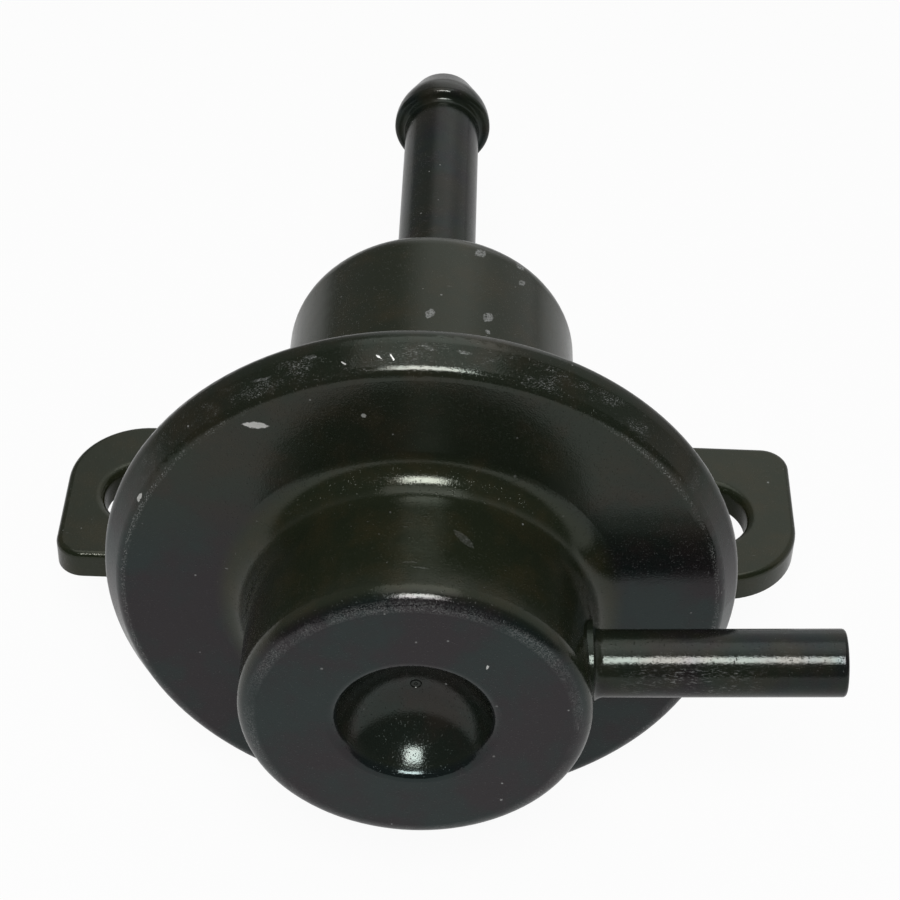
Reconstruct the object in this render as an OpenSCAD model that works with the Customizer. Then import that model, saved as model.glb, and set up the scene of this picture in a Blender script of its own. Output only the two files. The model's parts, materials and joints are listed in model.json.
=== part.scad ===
// Fuel pressure regulator with a crimped diaphragm, a side vacuum pipe and a bolted inlet plate.
// The regulator's axis runs along Y. The origin is the centre of the plate's mounting face.

/* [Spring housing] */
// Outside diameter of the spring housing
housing_d = 24.6; // [20:0.1:30]
// Length of the spring housing from the flange's face to its closed end
housing_len = 11.6; // [10.5:0.1:18]
// Sheet thickness of the spring housing
housing_sheet = 1.0; // [0.7:0.05:1.2]
// Inside corner radius of the closed end
end_in_r = 0.5; // [0.1:0.1:2]
// Outside fillet radius between the wall and the flange
base_r = 2.4; // [1:0.1:3]
// Diameter of the adjusting dimple in the closed end
dimple_d = 11.2; // [8:0.1:13]
// Depth of the adjusting dimple
dimple_depth = 3.8; // [2:0.1:4.2]
// Edge rounding of the dimple
dimple_edge_r = 0.8; // [0.2:0.1:1]

/* [Crimped rim] */
// Outside diameter of the crimped rim
flange_d = 46; // [44:0.5:56]
// Angle between the rim's flank and the regulator's axis
flank_angle = 32; // [20:1:40]
// Inside radius of the ridge between the flange's face and the flank
ridge_in_r = 0.1; // [0.05:0.05:0.5]
// Inside radius of the bend between the flank and the rim's widest place
rim_in_r = 0.2; // [0.1:0.05:0.5]
// Inside radius of the rim's folded back edge
fold_in_r = 0.1; // [0.05:0.05:0.4]
// Radial width of the folded lip
lip_w = 3.2; // [2.4:0.1:4]

/* [Fuel chamber] */
// Outside diameter of the fuel chamber
chamber_d = 22.8; // [21.5:0.1:26]
// Distance from the flange's face to the fuel chamber's far end
chamber_end = 30.5; // [29:0.5:45]
// Sheet thickness of the fuel chamber
chamber_sheet = 1.0; // [0.7:0.05:1.2]
// Outside corner radius of the fuel chamber's far end
chamber_corner_r = 2.5; // [1.5:0.1:4]
// Outside diameter of the bowl under the diaphragm
bowl_d = 33; // [32.5:0.1:35]
// Distance from the flange's face to the bowl's outer face
bowl_depth = 6.8; // [6.6:0.1:9]
// Inside radius of the fuel chamber's bends
bend_in_r = 0.4; // [0.2:0.1:1]

/* [Return pipe] */
// Outside diameter of the return pipe
return_d = 6.6; // [6:0.1:8]
// Wall thickness of the return pipe
return_wall = 0.8; // [0.6:0.05:1]
// Length of the return pipe beyond the fuel chamber
return_len = 35; // [20:0.5:50]
// Height of the hose bead above the pipe
bead_h = 1; // [0.6:0.05:1.6]
// Radius of the bead's shoulder towards the fuel chamber
bead_shoulder_r = 0.5; // [0.2:0.05:0.5]
// Radius of the bead's round towards the tip
bead_nose_r = 5; // [1:0.5:7]
// Distance from the bead's widest place to the pipe's tip
bead_setback = 4.7; // [3.5:0.1:6]
// Radius that the pipe loses at its tip
tip_drop = 0.55; // [0.1:0.05:0.7]
// Radius that the pipe gains in its flare towards the fuel chamber
return_flare = 0.35; // [0.1:0.05:0.8]
// Length of that flare
return_flare_len = 7; // [3:0.5:12]
// Radius of the brazed fillet at the fuel chamber
return_fillet_r = 1.0; // [0.5:0.1:1.5]

/* [Vacuum pipe] */
// Outside diameter of the vacuum pipe
vacuum_d = 4.8; // [4:0.1:5]
// Wall thickness of the vacuum pipe
vacuum_wall = 0.8; // [0.5:0.05:1]
// Distance from the regulator's axis to the pipe's tip
vacuum_reach = 30; // [24:0.5:45]
// Distance from the pipe's fillet to the fillet at the flange
vacuum_gap = 0.4; // [0.1:0.1:1.5]
// Angle by which the pipe rises from the plate's long direction
vacuum_clock = 3.2; // [-20:0.1:30]
// Radius of the brazed fillet at the housing's wall
vacuum_fillet_r = 0.7; // [0.3:0.1:0.9]

/* [Mounting plate] */
// Reach of the ear on the vacuum pipe's side, from the inlet's axis
ear_reach = 29.85; // [28:0.05:36]
// Reach of the other ear
far_ear_reach = 29.2; // [28:0.05:36]
// Distance from the bolt holes' line to the plate's edge on the flange's side
plate_near = 7.4; // [7:0.1:8.5]
// Distance from the bolt holes' line to the plate's other long edge
plate_far = 8.2; // [7:0.1:8.5]
// Thickness of the plate
plate_t = 2.4; // [1.5:0.1:3]
// Radius of the two large corners
plate_large_r = 6.3; // [3:0.1:7]
// Radius of the two small corners
plate_small_r = 2.2; // [0.5:0.1:4]
// Rounding of the plate's upper edges
plate_edge_r = 0.5; // [0.1:0.1:1]
// Distance between the bolt holes
bolt_spacing = 45; // [44:0.5:46]
// Diameter of the bolt holes
bolt_hole_d = 7; // [5:0.1:8]
// Rounding at the top of each bolt hole
hole_round = 0.7; // [0.1:0.1:1.2]
// Height of the regulator's axis above the mounting face
axis_height = 11.4; // [11:0.1:12.5]
// Distance from the flange's face to the inlet's axis
inlet_station = 20.3; // [20:0.1:24]

/* [Inlet spigot] */
// Outside diameter of the spigot
spigot_d = 11.8; // [11:0.1:14]
// Length of the spigot below the mounting face
spigot_len = 11.6; // [10:0.1:16]
// Diameter of the fuel bore
spigot_bore_d = 5; // [3:0.1:6]
// Diameter of the neck through the plate
neck_d = 8; // [7:0.1:10]
// Chamfer of the spigot's tip
spigot_chamfer = 0.8; // [0.4:0.1:1.2]
// Length of the plain land between the groove and the tip chamfer
spigot_land = 2.6; // [2:0.1:4]
// Section diameter of the O-ring
ring_section_d = 2; // [1.6:0.1:2.2]
// Width of the O-ring's groove
groove_w = 2.6; // [2.4:0.1:3]
// Depth of the O-ring's groove
groove_depth = 1.5; // [1.2:0.1:1.6]

/* [Diaphragm] */
// Thickness of the diaphragm
diaphragm_t = 0.6; // [0.5:0.05:0.7]
// Distance from the rolled convolution to the spring's seat and to the bowl's outside
roll_gap = 0.75; // [0.6:0.05:1.2]

/* [Main spring] */
// Wire diameter
spring_wire = 2; // [1.6:0.1:2.2]
// Distance from the coils to the rim of the spring's seat
spring_gap = 0.2; // [0.1:0.05:0.5]
// Number of turns, with both closed ends
spring_turns = 3.2; // [3:0.1:3.4]
// Sheet thickness of the spring's cap, the spring's seat and the backing plate
cup_sheet = 0.8; // [0.6:0.05:0.9]
// Distance from the cap and the seat to the housing's wall
cup_gap = 1.1; // [0.6:0.1:2]
// Height of the seat's rim
cup_rim_h = 2.4; // [1.6:0.1:3]

/* [Valve] */
// Diameter of the valve ball
ball_d = 6.8; // [6.4:0.1:7]
// How far the ball's ground flat reaches beyond the seat's lip
flat_overlap = 0.5; // [0.2:0.05:0.7]
// Wall thickness of the ball's holder at the ball's middle
socket_wall = 1.2; // [0.8:0.1:1.8]
// Diameter of the holder's rivet shank
rivet_d = 3.2; // [2.4:0.1:4]
// Wire diameter of the small spring behind the ball
ball_spring_wire = 0.4; // [0.3:0.05:0.5]
// Height of the small spring behind the ball
ball_spring_h = 1.5; // [1.3:0.1:1.8]
// Diameter of the valve seat's bore
seat_bore_d = 3; // [2:0.1:3.2]
// Gap between the ball's flat and the seat's lip at rest
seat_gap = 0.15; // [0.12:0.01:0.3]

/* [Hidden] */
$fn = 96;
// Radial clearance of brazed and pressed pieces
braze_gap = 0.04;
// Clearance of the ball in its socket
ball_gap = 0.06;
// Clearance of the spring's cap on the dimple
cap_gap = 0.1;
// Clearance of the diaphragm's and the chamber's edges inside the rim
edge_gap = 0.45;
// Edge rounding of the pipes' tips
tip_round = 0.3;
// Largest share of a full round that the bead's nose keeps before its cone
nose_share = 0.9;
// Pitch of a spring's closed turns, in wire diameters
closed_pitch_share = 1.02;
// Turns at each end of the springs that lie closed
closed_turns = 0.7;
// Turns of the small spring
ball_spring_turns = 2.6;
// Overlength of cutting shapes
cut = 1;

housing_r = housing_d / 2;
flange_r = flange_d / 2;
chamber_r = chamber_d / 2;
bowl_r = bowl_d / 2;
return_r = return_d / 2;
vacuum_r = vacuum_d / 2;
ball_r = ball_d / 2;
cup_r = housing_r - housing_sheet - cup_gap;
spring_mean_r = cup_r - cup_sheet - spring_gap - spring_wire / 2;
bead_r = return_r + bead_h;
tip_r = return_r - tip_drop;
holder_r = ball_r + socket_wall;

// Outside radii of the bends in the sheets
end_r = end_in_r + housing_sheet;
fold_r = fold_in_r + housing_sheet;
bend_r = bend_in_r + chamber_sheet;
rim_r = rim_in_r + housing_sheet;
ridge_r = ridge_in_r + housing_sheet;

// Stations along the axis, from the flange's face, positive towards the return pipe
end_station = -housing_len;
clamp_station = housing_sheet;
chamber_flange_station = clamp_station + diaphragm_t;
rim_back = chamber_flange_station + chamber_sheet + housing_sheet;
return_tip = chamber_end + return_len;
bead_station = return_tip - bead_setback;
vacuum_station = base_r + vacuum_gap + vacuum_fillet_r + vacuum_r;

// The rim's flank runs from the ridge to the bend at the widest place, where the folded edge begins
rim_station = rim_back - fold_r;
flank_len = (rim_station - rim_r * sin(flank_angle) - ridge_r * (1 - sin(flank_angle))) / cos(flank_angle);
flank_rise = flank_len * sin(flank_angle);
ridge_x = flange_r - rim_r * (1 - cos(flank_angle)) - flank_rise - ridge_r * cos(flank_angle);
flank_in = [ridge_x + ridge_in_r * cos(flank_angle), ridge_r - ridge_in_r * sin(flank_angle)];

// The dimple is part of a sphere whose centre lies outside the closed end
dimple_r = (pow(dimple_d / 2, 2) + pow(dimple_depth, 2)) / (2 * dimple_depth);
dimple_centre = end_station + dimple_depth - dimple_r;

// The brim of the spring's cap lies just inside the closed end
brim_gap = 0.6;
brim_station = end_station + housing_sheet + brim_gap;
seat_floor = clamp_station - cup_sheet;

// The ball's holder hangs from the backing plate
holder_station = chamber_flange_station + cup_sheet;
holder_floor = holder_station + cup_sheet;
ball_spring_r = 1.5;
socket_lip = 1.2;
ball_centre = holder_floor + ball_spring_h + sqrt(pow(ball_r, 2) - pow(ball_spring_r, 2));
holder_end = ball_centre + socket_lip;
rivet_head_r = rivet_d;
rivet_head_h = 0.8;

// The valve seat stands on the return pipe's inner end
seat_lip_h = 1;
seat_flange_h = 0.8;
seat_shank_len = 3;
seat_lip_w = 0.6;
flat_r = seat_bore_d / 2 + seat_lip_w + flat_overlap;
ball_flat = sqrt(pow(ball_r, 2) - pow(flat_r, 2));
seat_station = ball_centre + ball_flat + seat_gap;
return_start = seat_station + seat_lip_h + seat_flange_h;

// The chamber's underside is pressed flat where the plate is brazed on
flat_drop = axis_height - plate_t;
flat_margin = 0.6;
flat_start = inlet_station - plate_near - flat_margin;
neck_proud = 0.5;

// The diaphragm's convolution runs midway between the spring's seat and the bowl
roll_x = (cup_r + bowl_r) / 2;
roll_r = (bowl_r - cup_r) / 2 - roll_gap;

BLACK_COAT = [0.15, 0.15, 0.13];
RUBBER = [0.07, 0.07, 0.07];
PLATED = [0.72, 0.7, 0.62];
SPRING_STEEL = [0.45, 0.46, 0.48];
BRASS = [0.78, 0.62, 0.3];

// Lays a shape that is built along Z onto the regulator's axis
module along_axis() {
    translate([0, -inlet_station, axis_height]) rotate([-90, 0, 0]) children();
}

// Turns a profile of radius and station round the regulator's axis
module turned() {
    along_axis() rotate_extrude() children();
}

// Lays a shape that is built along Z onto the vacuum pipe's axis
module along_vacuum() {
    translate([0, -inlet_station - vacuum_station, axis_height])
        rotate([0, 90 - vacuum_clock, 0]) children();
}

// Quarter of a ring, in the quadrant that the two signs name
module quarter_ring(centre, inner, outer, side, way) {
    translate(centre) intersection() {
        difference() {
            circle(outer);
            if (inner > 0) circle(inner);
        }
        translate([side > 0 ? 0 : -outer, way > 0 ? 0 : -outer]) square(outer);
    }
}

// Part of a ring between two angles that are less than a right angle apart
module ring_part(centre, inner, outer, from, to) {
    reach = 2 * outer;
    translate(centre) intersection() {
        difference() {
            circle(outer);
            circle(inner);
        }
        polygon([[0, 0], [reach * cos(from), reach * sin(from)], [reach * cos(to), reach * sin(to)]]);
    }
}

// Rectangle between two radii and two stations
module band(r0, r1, s0, s1) {
    translate([r0, s0]) square([r1 - r0, s1 - s0]);
}

// Closed wire swept along a helix, with closed turns at both ends
module coil(mean_r, wire_d, height, turns, steps, sides) {
    rise = height - wire_d;
    closed = closed_turns;
    closed_pitch = wire_d * closed_pitch_share;
    open_turns = turns - 2 * closed;
    open_pitch = (rise - 2 * closed * closed_pitch) / open_turns;
    count = round(turns * steps);
    function lift(t) = t < closed ? t * closed_pitch
        : t < closed + open_turns ? closed * closed_pitch + (t - closed) * open_pitch
        : closed * closed_pitch + open_turns * open_pitch + (t - closed - open_turns) * closed_pitch;
    points = [for (i = [0 : count], k = [0 : sides - 1])
        let (t = turns * i / count, a = 360 * t, b = 360 * k / sides, r = mean_r + wire_d / 2 * cos(b))
        [r * cos(a), r * sin(a), wire_d / 2 + lift(t) + wire_d / 2 * sin(b)]];
    skin = [for (i = [0 : count - 1], k = [0 : sides - 1])
        let (n = (k + 1) % sides)
        [i * sides + k, i * sides + n, (i + 1) * sides + n, (i + 1) * sides + k]];
    first = [[for (k = [sides - 1 : -1 : 0]) k]];
    last = [[for (k = [0 : sides - 1]) count * sides + k]];
    polyhedron(points, concat(skin, first, last));
}

// Flat end, dimple and rounded corner of the spring housing
module housing_end_profile() {
    edge_x = sqrt(pow(dimple_r + dimple_edge_r, 2) - pow(end_station + dimple_edge_r - dimple_centre, 2));
    share = dimple_r / (dimple_r + dimple_edge_r);
    tangent = [edge_x * share, dimple_centre + (end_station + dimple_edge_r - dimple_centre) * share];
    difference() {
        union() {
            band(0, housing_r - end_r, end_station, end_station + housing_sheet);
            intersection() {
                translate([0, dimple_centre]) circle(dimple_r + housing_sheet);
                band(0, housing_r, end_station, 0);
            }
        }
        translate([0, dimple_centre]) circle(dimple_r);
        difference() {
            polygon([[edge_x, end_station], [edge_x, end_station - cut], [0, end_station - cut], tangent]);
            translate([edge_x, end_station + dimple_edge_r]) circle(dimple_edge_r);
        }
        band(-housing_r, 0, end_station - cut, 0);
    }
    quarter_ring([housing_r - end_r, end_station + end_r], end_r - housing_sheet, end_r, 1, -1);
}

// Wall, flange and folded rim of the spring housing
module housing_flange_profile() {
    bend_x = housing_r + base_r;
    ridge_centre = [ridge_x, ridge_r];
    rim_centre = [flange_r - rim_r, rim_station];
    out = [cos(flank_angle), -sin(flank_angle)];
    band(housing_r - housing_sheet, housing_r, end_station + end_r, -base_r);
    quarter_ring([bend_x, -base_r], base_r, base_r + housing_sheet, -1, 1);
    band(bend_x, ridge_x, 0, housing_sheet);
    ring_part(ridge_centre, ridge_in_r, ridge_r, -90, -flank_angle);
    polygon([ridge_centre + ridge_in_r * out, ridge_centre + ridge_r * out,
        rim_centre + rim_r * out, rim_centre + rim_in_r * out]);
    ring_part(rim_centre, rim_in_r, rim_r, -flank_angle, 0);
    quarter_ring([flange_r - fold_r, rim_station], fold_in_r, fold_r, 1, 1);
    band(flange_r - lip_w, flange_r - fold_r, rim_back - housing_sheet, rim_back);
}

// Drawn cover of the main spring, with its rim folded over the chamber's flange
module spring_housing() {
    color(BLACK_COAT) difference() {
        turned() {
            housing_end_profile();
            housing_flange_profile();
        }
        along_vacuum() translate([0, 0, housing_r / 2]) cylinder(h = housing_r, r = vacuum_r + braze_gap);
    }
}

// Thin side pipe with its brazed collar
module vacuum_pipe() {
    start = housing_r - housing_sheet - neck_proud;
    collar_r = vacuum_r + vacuum_fillet_r;
    collar_top = housing_r + braze_gap + vacuum_fillet_r;
    color(BLACK_COAT) {
        along_vacuum() rotate_extrude() difference() {
            band(vacuum_r - vacuum_wall, vacuum_r, start, vacuum_reach);
            difference() {
                band(vacuum_r - tip_round, vacuum_r + cut, vacuum_reach - tip_round, vacuum_reach + cut);
                translate([vacuum_r - tip_round, vacuum_reach - tip_round]) circle(tip_round);
            }
        }
        difference() {
            along_vacuum() rotate_extrude() difference() {
                band(vacuum_r, collar_r, housing_r - housing_sheet, collar_top);
                translate([collar_r, collar_top]) circle(vacuum_fillet_r);
            }
            along_axis() translate([0, 0, end_station]) cylinder(h = housing_len, r = housing_r);
        }
    }
}

// Filled profile of the fuel chamber, from its outside or from its inside
module chamber_profile(inset) {
    outer_bend = bend_r - inset;
    inner_bend = bend_r - chamber_sheet + inset;
    floor_station = bowl_depth - inset;
    lip_x = bowl_r + bend_r - chamber_sheet;
    lip_station = chamber_flange_station + bend_r;
    neck_x = chamber_r + bend_r - chamber_sheet;
    neck_station = bowl_depth + bend_r - chamber_sheet;
    corner = chamber_corner_r - inset;
    difference() {
        union() {
            band(0, lip_x, chamber_flange_station, lip_station);
            band(0, bowl_r - inset - outer_bend, lip_station, floor_station);
            band(0, bowl_r - inset, lip_station - cut, floor_station - outer_bend);
            quarter_ring([bowl_r - inset - outer_bend, floor_station - outer_bend], 0, outer_bend, 1, 1);
            band(0, neck_x, floor_station - cut, neck_station);
            band(0, chamber_r - inset, floor_station, chamber_end - inset - corner);
            band(0, chamber_r - inset - corner, floor_station, chamber_end - inset);
            quarter_ring([chamber_r - inset - corner, chamber_end - inset - corner], 0, corner, 1, 1);
        }
        translate([lip_x, lip_station]) circle(inner_bend);
        translate([neck_x, neck_station]) circle(inner_bend);
    }
}

// Drawn can with its clamped flange, its bowl and the pressed flat that carries the plate
module fuel_chamber() {
    lip_x = bowl_r + bend_r - chamber_sheet;
    edge_x = flank_in[0] + (chamber_flange_station - flank_in[1]) * tan(flank_angle) - edge_gap;
    lip_back = chamber_flange_station + chamber_sheet;
    color(BLACK_COAT) difference() {
        turned() {
            chamber_profile(0);
            band(lip_x - chamber_sheet, edge_x, chamber_flange_station, lip_back);
        }
        flat_cut(flat_drop, flat_start);
        difference() {
            turned() chamber_profile(chamber_sheet);
            flat_cut(flat_drop - chamber_sheet, flat_start - chamber_sheet);
        }
        along_axis() translate([0, 0, chamber_end - chamber_corner_r])
            cylinder(h = chamber_corner_r + cut, r = return_r + braze_gap);
        translate([0, 0, plate_t - cut]) cylinder(h = chamber_r, r = neck_d / 2 + braze_gap);
    }
}

// Space below a flat on the chamber's underside, from a station to beyond the far end
module flat_cut(drop, start) {
    along_axis() translate([-chamber_d, drop, start]) cube([2 * chamber_d, chamber_d, chamber_end]);
}

// Tube from the valve seat to the hose bead
module return_pipe() {
    taper = bead_r - tip_r;
    full_nose_r = (pow(bead_setback, 2) + pow(taper, 2)) / (2 * taper);
    nose_r = min(bead_nose_r, nose_share * full_nose_r);
    nose_x = bead_r - nose_r;
    tip = [tip_r - nose_x, bead_setback];
    nose_angle = atan2(tip[1], tip[0]) - acos(nose_r / norm(tip));
    nose = [nose_x + nose_r * cos(nose_angle), bead_station + nose_r * sin(nose_angle)];
    shoulder_x = bead_r - bead_shoulder_r;
    root_r = shoulder_x - return_r;
    root_station = bead_station - bead_shoulder_r - root_r;
    flare_x = return_r + return_flare;
    fillet = [flare_x + return_fillet_r, chamber_end + return_fillet_r];
    color(BLACK_COAT) turned() difference() {
        union() {
            band(0, return_r, return_start, bead_station);
            quarter_ring([shoulder_x, bead_station], 0, bead_shoulder_r, 1, -1);
            difference() {
                band(0, shoulder_x, root_station, bead_station);
                translate([shoulder_x, root_station]) circle(root_r);
            }
            intersection() {
                translate([nose_x, bead_station]) circle(nose_r);
                band(0, bead_r, bead_station, nose[1]);
            }
            polygon([[0, bead_station], nose, [tip_r, return_tip], [0, return_tip]]);
            polygon([[0, chamber_end], [flare_x, chamber_end], [return_r, chamber_end + return_flare_len],
                [0, chamber_end + return_flare_len]]);
            difference() {
                band(0, fillet[0], chamber_end, fillet[1]);
                translate(fillet) circle(return_fillet_r);
            }
        }
        band(-bead_r, return_r - return_wall, return_start - cut, return_tip + cut);
        difference() {
            band(tip_r - tip_round, bead_r, return_tip - tip_round, return_tip + cut);
            translate([tip_r - tip_round, return_tip - tip_round]) circle(tip_round);
        }
    }
}

// Turned seat pressed into the return pipe's inner end
module valve_seat() {
    bore_r = seat_bore_d / 2;
    lip_top = seat_station + seat_lip_h;
    color(BRASS) turned() {
        band(bore_r, bore_r + seat_lip_w, seat_station, lip_top);
        band(bore_r, return_r, lip_top, return_start);
        band(bore_r, return_r - return_wall - braze_gap, return_start, return_start + seat_shank_len);
    }
}

// Corner of a square of the given radius outside its round
module corner_waste(x, y, side, way, r) {
    translate([x, y]) scale([side, way]) translate([-r, -r]) difference() {
        square(r + cut);
        circle(r);
    }
}

// Outline of the plate, with two large and two small corners set point for point
module plate_outline() {
    difference() {
        band(-far_ear_reach, ear_reach, -plate_near, plate_far);
        corner_waste(-far_ear_reach, plate_far, -1, 1, plate_large_r);
        corner_waste(ear_reach, -plate_near, 1, -1, plate_large_r);
        corner_waste(ear_reach, plate_far, 1, 1, plate_small_r);
        corner_waste(-far_ear_reach, -plate_near, -1, -1, plate_small_r);
    }
}

// Profile of what a rounded upper edge loses, for an edge at the given distance
module edge_waste(at) {
    r = min(plate_edge_r, plate_small_r);
    difference() {
        band(at - r, at + cut, plate_t - r, plate_t + cut);
        translate([at - r, plate_t - r]) circle(r);
    }
}

// Waste along one straight upper edge, between two places on it
module side_waste(turn, at, from, to) {
    rotate([0, 0, turn]) translate([0, to, 0]) rotate([90, 0, 0]) linear_extrude(to - from) edge_waste(at);
}

// Waste round the upper edge of one corner
module corner_edge_waste(x, y, side, way, r) {
    reach = r + cut;
    translate([x - side * r, y - way * r, 0]) intersection() {
        rotate_extrude() edge_waste(r);
        translate([side > 0 ? 0 : -reach, way > 0 ? 0 : -reach, 0]) cube([reach, reach, plate_t + cut]);
    }
}

// Waste round all the plate's upper edges
module rolled_edge_waste() {
    side_waste(0, ear_reach, plate_large_r - plate_near, plate_far - plate_small_r);
    side_waste(90, plate_far, plate_small_r - ear_reach, far_ear_reach - plate_large_r);
    side_waste(180, far_ear_reach, plate_large_r - plate_far, plate_near - plate_small_r);
    side_waste(270, plate_near, plate_small_r - far_ear_reach, ear_reach - plate_large_r);
    corner_edge_waste(-far_ear_reach, plate_far, -1, 1, plate_large_r);
    corner_edge_waste(ear_reach, -plate_near, 1, -1, plate_large_r);
    corner_edge_waste(ear_reach, plate_far, 1, 1, plate_small_r);
    corner_edge_waste(-far_ear_reach, -plate_near, -1, -1, plate_small_r);
}

// Flat plate with a bolt hole in each ear and a hole for the spigot's neck
module mounting_plate() {
    hole_r = bolt_hole_d / 2;
    color(BLACK_COAT) difference() {
        linear_extrude(plate_t) plate_outline();
        rolled_edge_waste();
        translate([0, 0, -cut]) cylinder(h = plate_t + 2 * cut, r = neck_d / 2 + braze_gap);
        for (side = [-1, 1]) translate([side * bolt_spacing / 2, 0, 0]) {
            translate([0, 0, -cut]) cylinder(h = plate_t + 2 * cut, r = hole_r);
            rotate_extrude() difference() {
                band(0, hole_r + hole_round, plate_t - hole_round, plate_t + cut);
                translate([hole_r + hole_round, plate_t - hole_round]) circle(hole_round);
            }
        }
    }
}

// Turned inlet with a neck through the plate and a groove for the ring
module inlet_spigot() {
    spigot_r = spigot_d / 2;
    groove_low = spigot_chamfer + spigot_land - spigot_len;
    color(PLATED) rotate_extrude() difference() {
        union() {
            band(0, spigot_r, spigot_chamfer - spigot_len, 0);
            polygon([[0, -spigot_len], [spigot_r - spigot_chamfer, -spigot_len],
                [spigot_r, spigot_chamfer - spigot_len], [0, spigot_chamfer - spigot_len]]);
            band(0, neck_d / 2, 0, plate_t + chamber_sheet + neck_proud);
        }
        band(-spigot_r, spigot_bore_d / 2, -spigot_len - cut, axis_height);
        band(spigot_r - groove_depth, spigot_r + cut, groove_low, groove_low + groove_w);
    }
}

// Rubber ring in the spigot's groove
module inlet_o_ring() {
    groove_low = spigot_chamfer + spigot_land - spigot_len;
    ring_x = spigot_d / 2 - groove_depth + ring_section_d / 2 + braze_gap;
    color(RUBBER) translate([0, 0, groove_low + groove_w / 2]) rotate_extrude()
        translate([ring_x, 0]) circle(ring_section_d / 2);
}

// Pressed cap that sits on the dimple's inside and carries the main spring
module spring_cap() {
    dome_r = dimple_r + housing_sheet + cap_gap;
    color(PLATED) turned() difference() {
        union() {
            band(0, cup_r, brim_station, brim_station + cup_sheet);
            intersection() {
                translate([0, dimple_centre]) circle(dome_r + cup_sheet);
                band(0, cup_r, brim_station, 0);
            }
        }
        translate([0, dimple_centre]) circle(dome_r);
        band(-cup_r, 0, end_station, 0);
    }
}

// Main compression spring between its cap and its seat
module pressure_spring() {
    low = brim_station + cup_sheet;
    color(SPRING_STEEL) along_axis() translate([0, 0, low])
        coil(spring_mean_r, spring_wire, seat_floor - low, spring_turns, steps = 24, sides = 10);
}

// Pressed cup on the diaphragm's spring side
module spring_seat() {
    color(PLATED) turned() {
        band(rivet_d / 2 + braze_gap, cup_r - cup_sheet, seat_floor, clamp_station);
        quarter_ring([cup_r - cup_sheet, seat_floor], 0, cup_sheet, 1, 1);
        band(cup_r - cup_sheet, cup_r, clamp_station - cup_rim_h, seat_floor);
    }
}

// Moulded rubber disc with a rolled convolution towards the fuel
module diaphragm() {
    color(RUBBER) turned() difference() {
        union() {
            band(rivet_d / 2 + braze_gap, ridge_x - edge_gap, clamp_station, chamber_flange_station);
            intersection() {
                translate([roll_x, clamp_station]) circle(roll_r);
                band(0, flange_r, clamp_station, bowl_depth);
            }
        }
        translate([roll_x, clamp_station]) circle(roll_r - diaphragm_t);
    }
}

// Pressed washer on the diaphragm's fuel side
module backing_plate() {
    color(PLATED) turned()
        band(rivet_d / 2 + braze_gap, cup_r - cup_sheet, chamber_flange_station, holder_station);
}

// Turned holder with its rivet and the socket that traps the ball
module valve_holder() {
    socket_r = ball_r + ball_gap;
    spring_room = ball_spring_r + ball_spring_wire;
    color(PLATED) turned() difference() {
        union() {
            band(0, holder_r, holder_station, holder_end);
            band(0, rivet_d / 2, seat_floor, holder_station);
            band(0, rivet_head_r, seat_floor - rivet_head_h, seat_floor);
        }
        translate([0, ball_centre]) circle(socket_r);
        band(-holder_r, spring_room, holder_floor, ball_centre);
        band(-holder_r, 0, end_station, return_tip);
    }
}

// Small spring that keeps the ball against the socket's lip
module ball_spring() {
    height = ball_spring_h - ball_gap;
    color(SPRING_STEEL) along_axis() translate([0, 0, holder_floor])
        coil(ball_spring_r, ball_spring_wire, height, ball_spring_turns, steps = 18, sides = 8);
}

// Ball with a ground flat that closes the seat
module valve_ball() {
    color("silver") turned() intersection() {
        translate([0, ball_centre]) circle(ball_r);
        band(0, ball_r, ball_centre - ball_r, ball_centre + ball_flat);
    }
}

spring_housing();
vacuum_pipe();
fuel_chamber();
return_pipe();
valve_seat();
mounting_plate();
inlet_spigot();
inlet_o_ring();
spring_cap();
pressure_spring();
spring_seat();
diaphragm();
backing_plate();
valve_holder();
ball_spring();
valve_ball();
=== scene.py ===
"""Looks of a fuel pressure regulator: coated steel shell, two pipes and a bolted plate."""

import json
import math

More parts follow.
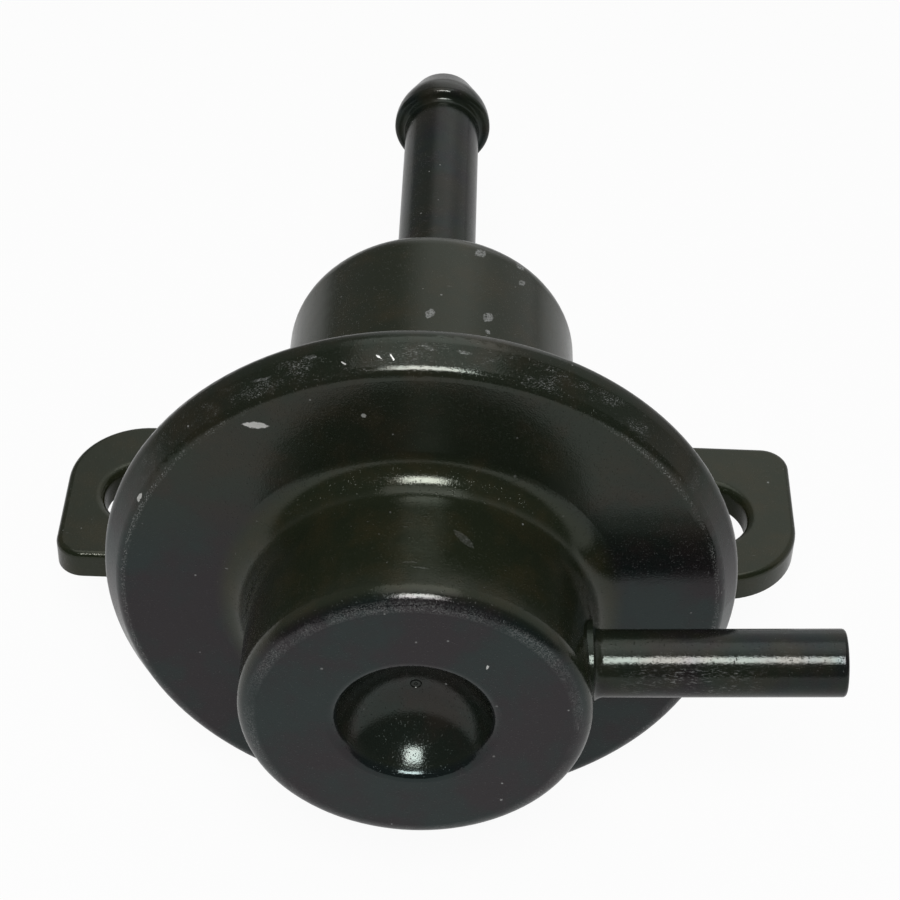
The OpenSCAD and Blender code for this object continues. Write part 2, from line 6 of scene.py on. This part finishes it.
import bpy
from mathutils import Matrix, Vector
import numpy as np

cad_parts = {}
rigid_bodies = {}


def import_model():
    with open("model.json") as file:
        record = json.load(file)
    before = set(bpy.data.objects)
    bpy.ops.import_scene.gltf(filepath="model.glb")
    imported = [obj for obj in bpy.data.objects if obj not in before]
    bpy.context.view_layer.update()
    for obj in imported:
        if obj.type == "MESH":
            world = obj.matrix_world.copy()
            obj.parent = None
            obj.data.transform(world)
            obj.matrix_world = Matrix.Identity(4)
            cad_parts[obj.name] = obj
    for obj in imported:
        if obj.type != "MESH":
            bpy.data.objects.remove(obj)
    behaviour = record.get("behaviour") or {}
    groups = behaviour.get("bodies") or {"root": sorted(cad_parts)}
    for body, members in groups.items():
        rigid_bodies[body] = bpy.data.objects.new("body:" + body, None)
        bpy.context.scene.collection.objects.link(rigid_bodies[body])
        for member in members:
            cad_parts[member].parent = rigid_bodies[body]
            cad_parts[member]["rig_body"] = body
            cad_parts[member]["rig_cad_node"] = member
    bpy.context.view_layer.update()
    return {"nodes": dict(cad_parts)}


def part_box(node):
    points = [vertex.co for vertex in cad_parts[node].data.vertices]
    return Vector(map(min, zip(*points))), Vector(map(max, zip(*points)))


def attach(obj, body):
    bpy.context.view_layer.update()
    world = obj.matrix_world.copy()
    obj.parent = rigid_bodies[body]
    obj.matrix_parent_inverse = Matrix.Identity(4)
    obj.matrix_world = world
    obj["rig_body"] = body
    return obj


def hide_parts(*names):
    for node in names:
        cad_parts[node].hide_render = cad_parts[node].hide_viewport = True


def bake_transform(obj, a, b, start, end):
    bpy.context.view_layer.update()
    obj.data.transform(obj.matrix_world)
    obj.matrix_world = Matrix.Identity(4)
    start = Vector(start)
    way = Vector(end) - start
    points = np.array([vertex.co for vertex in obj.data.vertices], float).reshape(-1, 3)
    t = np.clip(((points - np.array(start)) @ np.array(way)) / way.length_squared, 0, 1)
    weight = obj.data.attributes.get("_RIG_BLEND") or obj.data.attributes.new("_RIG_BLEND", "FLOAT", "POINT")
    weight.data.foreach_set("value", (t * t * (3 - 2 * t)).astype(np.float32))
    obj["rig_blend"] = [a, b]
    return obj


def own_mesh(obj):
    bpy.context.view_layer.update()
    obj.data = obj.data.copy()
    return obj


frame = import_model()
bpy.ops.object.select_all(action="DESELECT")
nodes = frame["nodes"]

MM = 0.001

# Places that the finishes are drawn round, in millimetres
housing_low, housing_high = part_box("spring_housing")
AXIS_HEIGHT = (housing_low.z + housing_high.z) / 2 / MM
CLAMPED_STACK = 1.6
FLANGE_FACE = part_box("fuel_chamber")[0].y / MM - CLAMPED_STACK
END_STATION = housing_low.y / MM - FLANGE_FACE
FLOOR_HEIGHT = min(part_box(name)[0].z for name in nodes)
HOUSING_R = 12.3
CAN_R = 11.4
RIDGE_R = 21.4
END_EDGE_R = 11.4
ROLL_OUTER_R = 15.1
ROLL_INNER_R = 11.6
PUNCH_R = 0.24

# How far the edge of a mark wanders along each axis, in millimetres
RAGGEDNESS = (0.25, 0.25, 0.25)


def on_shell(station, radius, degrees):
    """Point at a distance behind the flange's face and from the axis, turned from +X towards +Z."""
    a = math.radians(degrees)
    return Vector((radius * math.cos(a), FLANGE_FACE + station, AXIS_HEIGHT + radius * math.sin(a)))


class Value:
    """A socket in a node tree. Sums on it add Math nodes, and node() adds any other node."""

    def __init__(self, tree, socket=None):
        self.tree = tree
        self.socket = socket

    def node(self, kind, settings=(), sockets=(), out=0):
        """Adds a node with these settings and inputs, and returns one of its outputs."""
        made = self.tree.nodes.new("ShaderNode" + kind)
        for name, value in dict(settings).items():
            setattr(made, name, value)
        for name, value in dict(sockets).items():
            if isinstance(value, Value):
                self.tree.links.new(value.socket, made.inputs[name])
            else:
                made.inputs[name].default_value = value
        return Value(self.tree, made.outputs[out] if made.outputs else None)

    def math(self, operation, *values):
        return self.node("Math", {"operation": operation}, enumerate(values))

    def vector(self, operation, *values, out=0):
        return self.node("VectorMath", {"operation": operation}, enumerate(values), out)

    def __add__(self, other):
        return self.math("ADD", self, other)

    def __sub__(self, other):
        return self.math("SUBTRACT", self, other)

    def __rsub__(self, other):
        return self.math("SUBTRACT", other, self)

    def __mul__(self, other):
        return self.math("MULTIPLY", self, other)

    def __pow__(self, other):
        return self.math("POWER", self, other)

    def step(self, low, high):
        """0 at low and 1 at high, with a smooth run between them; low may be the larger one."""
        return self.node("MapRange", {"interpolation_type": "SMOOTHSTEP"},
                         {0: self, 1: low, 2: high})

    def band(self, middle, half, soft):
        """1 within half of the middle, falling to 0 over soft."""
        return self.math("ABSOLUTE", self - middle).step(half + soft, half)

    def most(self, *others):
        """Largest of this value and the others."""
        best = self
        for other in others:
            best = self.math("MAXIMUM", best, other)
        return best


class Finish(Value):
    """A material whose shader is fed by values. Lengths in it are millimetres."""

    def __init__(self, name):
        self.material = bpy.data.materials.new(name)
        self.material.use_nodes = True
        super().__init__(self.material.node_tree)
        self.tree.nodes.clear()
        self.place = self.node("VectorMath", {"operation": "SCALE"},
                               {0: self.node("TexCoord", out="Object"), "Scale": 1 / MM})
        parts = self.node("SeparateXYZ", (), {0: self.place})
        self.x, y, z = (Value(self.tree, socket) for socket in parts.socket.node.outputs)
        self.station = y - FLANGE_FACE
        self.up = z - AXIS_HEIGHT
        self.radius = (self.x * self.x + self.up * self.up) ** 0.5

    def noise(self, size, detail=2.0, roughness=0.5, stretch=(1, 1, 1)):
        """Noise from about 0 to 1, with lumps of about size times the stretch along each axis."""
        place = self.vector("DIVIDE", self.place, stretch)
        return self.node("TexNoise", (), {"Vector": place, "Scale": 1 / size, "Detail": detail,
                                          "Roughness": roughness})

    def specks(self, size, share, reach):
        """Dots in a share of the cells that are size wide, each up to reach cells in radius."""
        cell = self.node("TexVoronoi", (), {"Vector": self.place, "Scale": 1 / size})
        outputs = cell.socket.node.outputs
        chance = self.node("SeparateColor", (), {0: Value(self.tree, outputs["Color"])})
        dot = (chance - (1 - share)) * (reach / share)
        return (dot - cell).step(0, reach * 0.5)

    def leaf(self, start, end, width):
        """Pointed mark between two points, widest half way, where it is width to each side."""
        run = end - start
        offset = self.vector("SUBTRACT", self.ragged, start)
        along = self.vector("DOT_PRODUCT", offset, run / run.length_squared, out=1)
        share = self.node("Clamp", (), {0: along})
        foot = self.node("VectorMath", {"operation": "SCALE"}, {0: tuple(run), "Scale": share})
        apart = self.vector("DISTANCE", offset, foot, out=1)
        return (share * (1 - share) * (4 * width) - apart).step(0, width * 0.35)

    def marks(self, leaves):
        """All leaf marks of a list of start, end and width, with edges that are slightly ragged."""
        shift = self.node("TexNoise", (), {"Vector": self.place, "Scale": 4.0, "Detail": 2.0}, 1)
        centred = self.vector("SUBTRACT", shift, (0.5, 0.5, 0.5))
        self.ragged = self.vector("ADD", self.place, self.vector("MULTIPLY", centred, RAGGEDNESS))
        first, *rest = [self.leaf(*leaf) for leaf in leaves]
        return first.most(*rest)

    def mix(self, share, first, second):
        return self.node("Mix", {"data_type": "RGBA"}, {0: share, 6: first, 7: second}, 2)

    def bump(self, height, distance):
        return self.node("Bump", (), {"Height": height, "Distance": distance * MM})

    def shader(self, **sockets):
        """Principled shader. The names of its sockets have _ in place of spaces."""
        return self.node("BsdfPrincipled", (), {k.replace("_", " "): v for k, v in sockets.items()})

    def surface(self, shader):
        self.node("OutputMaterial", (), {"Surface": shader})
        return self.material


# Colours of the coat, its wear and the steel under it, and tints of its gloss. The cool ones, slate, plum,
# teal and mauve, also give the housing's front faces a painted bluish reflection tint
SLATE = (0.0058, 0.0085, 0.0083, 1)
PLUM = (0.0100, 0.0085, 0.0096, 1)
OLIVE = (0.0115, 0.0145, 0.0080, 1)
BRONZE = (0.0190, 0.0180, 0.0090, 1)
WORN_COAT = (0.20, 0.205, 0.20, 1)
BARE_STEEL = (0.62, 0.62, 0.60, 1)
TEAL_GLOSS = (0.80, 1.0, 0.98, 1)
MAUVE_GLOSS = (1.0, 0.93, 0.97, 1)
OLIVE_GLOSS = (0.97, 1.0, 0.82, 1)

# Sizes of the coat's features in millimetres
CLOUD = 6.0
PATCH = 3.0
DUST = 0.7
HAIR = 0.1
GRAIN = 0.12
PIT = 0.16
ORANGE_PEEL = 1.6
RELIEF = 0.008

# Shine of the coat: roughness, and refractive index with its change for two of the tints
LOWEST_ROUGHNESS = 0.04
CHIP_ROUGHNESS = 0.38
SHELL_GLOSS = 1.45
PIPE_GLOSS = 1.38
TEAL_EXTRA = 0.01
MAUVE_LESS = 0.03

# Depth of the punch ring as a multiple of the relief
PUNCH_DEPTH = 9

# Size, share and reach of the coat's specks
FLAKES = (2.5, 0.03, 0.06)
NICKS = (0.8, 0.04, 0.2)
PIPE_FLAKES = (0.9, 0.02, 0.1)


def coat(f, olive, chips, worn, dents=0.0, gloss=SHELL_GLOSS):
    """Gloss black coat with a fine grain. The olive share is warmer, worn greys the coat, chips
    show the bare steel, and dents lower the surface."""
    cloudy = f.noise(CLOUD, 4.0, 0.6)
    patches = f.noise(PATCH, 4.0, 0.6)
    cool = f.mix(cloudy.step(0.42, 0.62), SLATE, PLUM)
    warm = f.mix(patches.step(0.4, 0.75), OLIVE, BRONZE)
    dust = f.specks(DUST, 0.12, 0.2) * patches.step(0.35, 0.6)
    upright_hairs = f.noise(HAIR, 2.0, 0.5, (1, 1, 18))
    level_hairs = f.noise(HAIR, 2.0, 0.5, (16, 1, 2))
    hairs = upright_hairs.most(level_hairs).step(0.74, 0.8)
    worn = worn.most(dust, hairs * cloudy.step(0.4, 0.6) * 0.7)
    base = f.mix(worn, f.mix(olive, cool, warm), WORN_COAT)
    grain = f.noise(GRAIN)
    rough = grain.step(0.5, 0.8) * 0.25 + patches * 0.14 + worn * 0.15 + LOWEST_ROUGHNESS
    pits = f.specks(PIT, 0.5, 0.45)
    relief = grain + pits * 1.6 + f.noise(ORANGE_PEEL) * 1.5 - chips * 0.8 - dents
    look = {"Base_Color": f.mix(chips, base, BARE_STEEL), "Metallic": chips,
            "Roughness": rough.most(chips * CHIP_ROUGHNESS), "Normal": f.bump(relief, RELIEF)}
    # Teal and mauve gloss where the olive share is low: on the housing's front faces this is a painted
    # bluish reflection tint
    teal = f.shader(Specular_Tint=TEAL_GLOSS, IOR=gloss + TEAL_EXTRA, **look)
    mauve = f.shader(Specular_Tint=MAUVE_GLOSS, IOR=gloss - MAUVE_LESS, **look)
    green = f.shader(Specular_Tint=OLIVE_GLOSS, IOR=gloss, **look)
    faces = f.node("MixShader", (), {0: cloudy.step(0.38, 0.62), 1: teal, 2: mauve})
    return f.surface(f.node("MixShader", (), {0: olive * 0.8, 1: faces, 2: green}))


def housing_coat():
    """Worn at the rim and the end's edge, with chips, scrapes and a punch ring in the dimple. The flange
    face, end face and dimple carry a painted bluish reflection tint.
    """
    f = Finish("housing_coat")
    fine = f.noise(0.11, 3.0, 0.65).step(0.5, 0.7)
    broken = f.noise(3.5, 4.0, 0.65).step(0.36, 0.54)
    ridge = ((f.radius - RIDGE_R) ** 2 + (f.station - 0.1) ** 2) ** 0.5
    rim_wear = ridge.step(0.28, 0.05) * f.up.step(19, 15) * broken * fine
    flank = f.radius.step(21.5, 21.9) * f.station.step(0.2, 0.45) * f.up.step(6, 18)
    speckle = f.noise(0.07, 3.0, 0.7, (4.0, 1.0, 1.0)).step(0.5, 0.74)
    rubbed = f.noise(1.2, 4.0, 0.65, (3.0, 1.0, 1.0)).step(0.48, 0.66)
    scuffs = flank * rubbed * f.station.band(1.0, 0.5, 0.5) * speckle
    end = ((f.radius - END_EDGE_R) ** 2 + (f.station - END_STATION) ** 2) ** 0.5
    mottled = f.noise(0.1, 3.0, 0.7).step(0.4, 0.75)
    end_wear = end.step(0.6, 0.25) * f.noise(5.0, 4.0, 0.65).step(0.3, 0.6) * mottled
    chips = f.marks([
        (on_shell(0, 20.75, 126.8), on_shell(0, 19.55, 122.2), 0.34),
        (on_shell(0, 18.45, 103.4), on_shell(0, 18.1, 102.6), 0.16),
        (on_shell(1.5, 22.5, 99), on_shell(0.6, 21.95, 97.2), 0.12),
        (on_shell(1.3, 22.4, 96.3), on_shell(0.7, 22.0, 95.4), 0.1),
        (on_shell(1.2, 22.35, 105), on_shell(0.7, 22.0, 103.6), 0.08),
        (on_shell(0.25, 21.8, 156.5), on_shell(0.3, 21.85, 153.5), 0.18),
        (on_shell(END_STATION, 7.9, 52), on_shell(END_STATION, 7.5, 50.5), 0.08),
    ])
    scrapes = f.marks([
        (on_shell(-4.7, HOUSING_R, 80), on_shell(-6.3, HOUSING_R, 72.5), 0.4),
        (on_shell(-8.2, HOUSING_R, 96), on_shell(-8.3, HOUSING_R, 90), 0.1),
        (on_shell(-8.7, HOUSING_R, 93), on_shell(-8.8, HOUSING_R, 86), 0.08),
    ])
    rim_scrapes = f.marks([
        (on_shell(1.85, 22.7, 112), on_shell(1.6, 22.55, 108), 0.2),
        (on_shell(0.9, 22.1, 115), on_shell(0.6, 21.9, 103), 0.16),
        (on_shell(1.5, 22.5, 123), on_shell(1.2, 22.3, 116), 0.18),
        (on_shell(1.8, 22.7, 92), on_shell(1.4, 22.4, 87.5), 0.2),
        (on_shell(1.6, 22.55, 86), on_shell(1.4, 22.4, 81), 0.18),
        (on_shell(0.5, 21.85, 75), on_shell(0.3, 21.7, 70), 0.14),
    ]) * (speckle * 1.6 + 0.1)
    # Painted reflection tint: the flange face, end face and dimple take the cool colours and teal or mauve
    # gloss, so their reflections of the floor look bluish. On the flange this is strongest towards the
    # bottom.
    flange = f.radius.step(13.5, 15.0) * (f.up.step(14, 2) * 0.7 + 0.3)
    end_face = f.station.step(END_STATION + 1.2, END_STATION + 0.2)
    dimple = f.radius.step(6.0, 5.0) * 0.6
    dimple_floor = f.station.step(END_STATION + 2.5, END_STATION + 3.0)
    punch = f.radius.band(PUNCH_R, 0.06, 0.14) * dimple_floor * PUNCH_DEPTH
    worn = rim_wear.most(end_wear * 0.55, scuffs, scrapes * (fine * 0.5 + 0.08), rim_scrapes)
    return coat(f, 1 - flange.most(end_face, dimple), chips, worn, punch)


def chamber_coat():
    """Smeared and nicked on top of the can."""
    f = Finish("chamber_coat")
    smears = f.marks([
        (on_shell(27.2, CAN_R, 74), on_shell(28.2, CAN_R, 69.5), 0.5),
        (on_shell(27.9, CAN_R, 55.5), on_shell(28.8, CAN_R, 51.5), 0.45),
        (on_shell(25.9, CAN_R, 54.5), on_shell(26.9, CAN_R, 51), 0.3),
        (on_shell(18.6, CAN_R, 91.6), on_shell(19.9, CAN_R, 89.4), 0.4),
        (on_shell(19.4, CAN_R, 69.5), on_shell(20.8, CAN_R, 66.5), 0.45),
        (on_shell(18.1, CAN_R, 68.8), on_shell(18.6, CAN_R, 67.2), 0.25),
    ])
    patchy = f.noise(0.14, 4.0, 0.7).step(0.35, 0.65)
    worn = (smears * patchy * 1.6).most(f.specks(*NICKS))
    return coat(f, 1.0, f.specks(*FLAKES), worn)


def plate_coat():
    """Lightly nicked all over."""
    f = Finish("plate_coat")
    return coat(f, 1.0, f.specks(*FLAKES), f.specks(*NICKS))


def pipe_coat():
    """Streaky, and rubbed near the middle of the side pipe."""
    f = Finish("pipe_coat")
    streaks = f.noise(0.1, 4.0, 0.7, (4.0, 1.5, 1.0)).step(0.5, 0.75)
    side_pipe = f.x.band(19.0, 2.0, 4.0) * f.station.step(-7.0, -8.0)
    rubbed = f.noise(3.0).step(0.5, 0.7) * 0.4 + side_pipe
    worn = streaks * rubbed * f.noise(0.8, 3.0).step(0.35, 0.6) * 0.7
    olive = f.noise(4.0).step(0.3, 0.55) * 0.6
    return coat(f, olive, f.specks(*PIPE_FLAKES), worn, gloss=PIPE_GLOSS)


def plain(name, colour, metallic, roughness):
    """Even finish that is slightly mottled."""
    f = Finish(name)
    tone = f.noise(1.2).step(0.3, 0.7)
    dark = tuple(c * 0.8 for c in colour)
    return f.surface(f.shader(Base_Color=f.mix(tone, (*dark, 1), (*colour, 1)), Metallic=metallic,
                              Roughness=tone * 0.1 + roughness))


PIPE = pipe_coat()
PLATED = plain("plated_steel", (0.55, 0.52, 0.42), 1.0, 0.35)
WIRE = plain("spring_steel", (0.3, 0.3, 0.31), 1.0, 0.3)
FINISHES = {
    "spring_housing": housing_coat(),
    "fuel_chamber": chamber_coat(),
    "mounting_plate": plate_coat(),
    "vacuum_pipe": PIPE,
    "return_pipe": PIPE,
    "inlet_spigot": PLATED,
    "spring_cap": PLATED,
    "spring_seat": PLATED,
    "backing_plate": PLATED,
    "valve_holder": PLATED,
    "pressure_spring": WIRE,
    "ball_spring": WIRE,
    "inlet_o_ring": plain("seal_rubber", (0.012, 0.012, 0.012), 0.0, 0.5),
    "diaphragm": plain("diaphragm_rubber", (0.02, 0.018, 0.016), 0.0, 0.6),
    "valve_ball": plain("ball_steel", (0.7, 0.7, 0.7), 1.0, 0.1),
    "valve_seat": plain("seat_brass", (0.6, 0.45, 0.18), 1.0, 0.3),
}
for name, finish in FINISHES.items():
    nodes[name].data.materials.clear()
    nodes[name].data.materials.append(finish)


def loose_copy(node, name):
    """Copy of a CAD node that stands for it and rides on nothing yet."""
    bpy.ops.object.select_all(action="DESELECT")
    bpy.context.view_layer.objects.active = nodes[node]
    nodes[node].select_set(True)
    bpy.ops.object.duplicate()
    bpy.ops.object.parent_clear(type="CLEAR_KEEP_TRANSFORM")
    piece = bpy.context.object
    piece.name = name
    del piece["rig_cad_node"], piece["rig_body"]
    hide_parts(node)
    return piece


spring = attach(loose_copy("pressure_spring", "main_spring"), "housing")
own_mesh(spring)

# The diaphragm's weights run inwards all round, so they are set again after the blend along +X
rubber = loose_copy("diaphragm", "rubber_diaphragm")
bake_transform(rubber, "housing", "valve_carrier",
         start=on_shell(0, ROLL_OUTER_R, 0) * MM, end=on_shell(0, ROLL_INNER_R, 0) * MM)
for vertex, weight in zip(rubber.data.vertices, rubber.data.attributes["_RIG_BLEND"].data):
    radius = math.hypot(vertex.co.x, vertex.co.z - AXIS_HEIGHT * MM) / MM
    share = min(max((ROLL_OUTER_R - radius) / (ROLL_OUTER_R - ROLL_INNER_R), 0), 1)
    weight.value = share * share * (3 - 2 * share)
bpy.ops.object.select_all(action="DESELECT")

# Camera
CAMERA_TARGET = Vector((1.77, FLANGE_FACE + 16.235, AXIS_HEIGHT + 0.446)) * MM
CAMERA_DISTANCE = 185 * MM
CAMERA_ELEVATION = math.radians(41.832)
CAMERA_ROLL = math.radians(2.105)
CAMERA_LENS = 96
SENSOR_WIDTH = 36
NEAR_LIMIT = 10 * MM
tilt = Matrix.Rotation(math.pi / 2 - CAMERA_ELEVATION, 4, "X")
turn = tilt @ Matrix.Rotation(CAMERA_ROLL, 4, "Z")
bpy.ops.object.camera_add()
camera = bpy.context.object
camera.matrix_world = Matrix.Translation(CAMERA_TARGET + turn.col[2].xyz * CAMERA_DISTANCE) @ turn
camera.data.lens = CAMERA_LENS
camera.data.sensor_width = SENSOR_WIDTH
camera.data.clip_start = NEAR_LIMIT
bpy.context.scene.camera = camera


WHITE = (1, 1, 1, 1)
MIRROR_RAYS = ("Is Glossy Ray", "Is Transmission Ray")


def rays(value, *names):
    """1 for a ray of any of the named kinds, which are outputs of the Light Path node."""
    path = value.node("LightPath")
    first, *rest = [Value(value.tree, path.socket.node.outputs[name]) for name in names]
    return first.most(*rest)


# Floor: white paper that glows for the camera, and a little in reflections
FLOOR_SIZE = 6
FLOOR_GAP = 0.05 * MM
PAPER = (0.64, 0.64, 0.64, 1)
CAMERA_GLOW = 0.95
MIRROR_GLOW = 0.15
bpy.ops.mesh.primitive_plane_add(size=FLOOR_SIZE, location=(0, 0, FLOOR_HEIGHT - FLOOR_GAP))
floor = bpy.context.object
floor.name = "floor"
white = Finish("floor_white")
paper = white.node("BsdfDiffuse", (), {"Color": PAPER})
glow = white.node("Emission", (), {"Color": WHITE, "Strength": 1.0})
glowing = rays(white, "Is Camera Ray") * CAMERA_GLOW + rays(white, *MIRROR_RAYS) * MIRROR_GLOW
floor.data.materials.append(white.surface(
    white.node("MixShader", (), {0: glowing, 1: paper, 2: glow})))

# World: white for the camera. Reflections see a tent behind the object and a dim room before it
world = bpy.data.worlds.new("tent")
bpy.context.scene.world = world
world.use_nodes = True
world.node_tree.nodes.clear()
FILL = 0.12
ROOM = 0.04
WALL = 0.15
STRIP = 0.45
BRIGHT_SIDE = 0.3
tent = Value(world.node_tree)
across = tent.node("SeparateXYZ", (), {0: tent.node("TexCoord", out="Generated")})
depth = Value(tent.tree, across.socket.node.outputs[1])
behind = across.band(0.1, 0.12, 0.3) * STRIP + across.step(-0.5, 0.6) * BRIGHT_SIDE + WALL
mirrored = depth.step(-0.3, 0.15) * behind + ROOM
strength = rays(tent, "Is Camera Ray") * (1 - FILL) + rays(tent, *MIRROR_RAYS) * (mirrored - FILL)
sky = tent.node("Background", (), {"Color": WHITE, "Strength": strength + FILL})
tent.node("OutputWorld", (), {0: sky})


def soft_box(name, direction, distance, width, length, watts):
    """Area lamp in a direction from the object's middle, facing it."""
    middle = Vector((0, FLANGE_FACE, AXIS_HEIGHT)) * MM
    away = Vector(direction).normalized()
    bpy.ops.object.light_add(type="AREA", location=middle + away * distance)
    lamp = bpy.context.object
    lamp.name = name
    lamp.data.shape = "RECTANGLE"
    lamp.data.size = width
    lamp.data.size_y = length
    lamp.data.energy = watts
    lamp.rotation_euler = away.to_track_quat("Z", "Y").to_euler()


soft_box("key", (0, -0.559, 0.829), distance=0.6, width=0.21, length=0.2, watts=3.0)
soft_box("top", (0, 0.1, 1), distance=0.6, width=0.5, length=0.5, watts=0.75)

bpy.context.scene.view_settings.view_transform = "Standard"
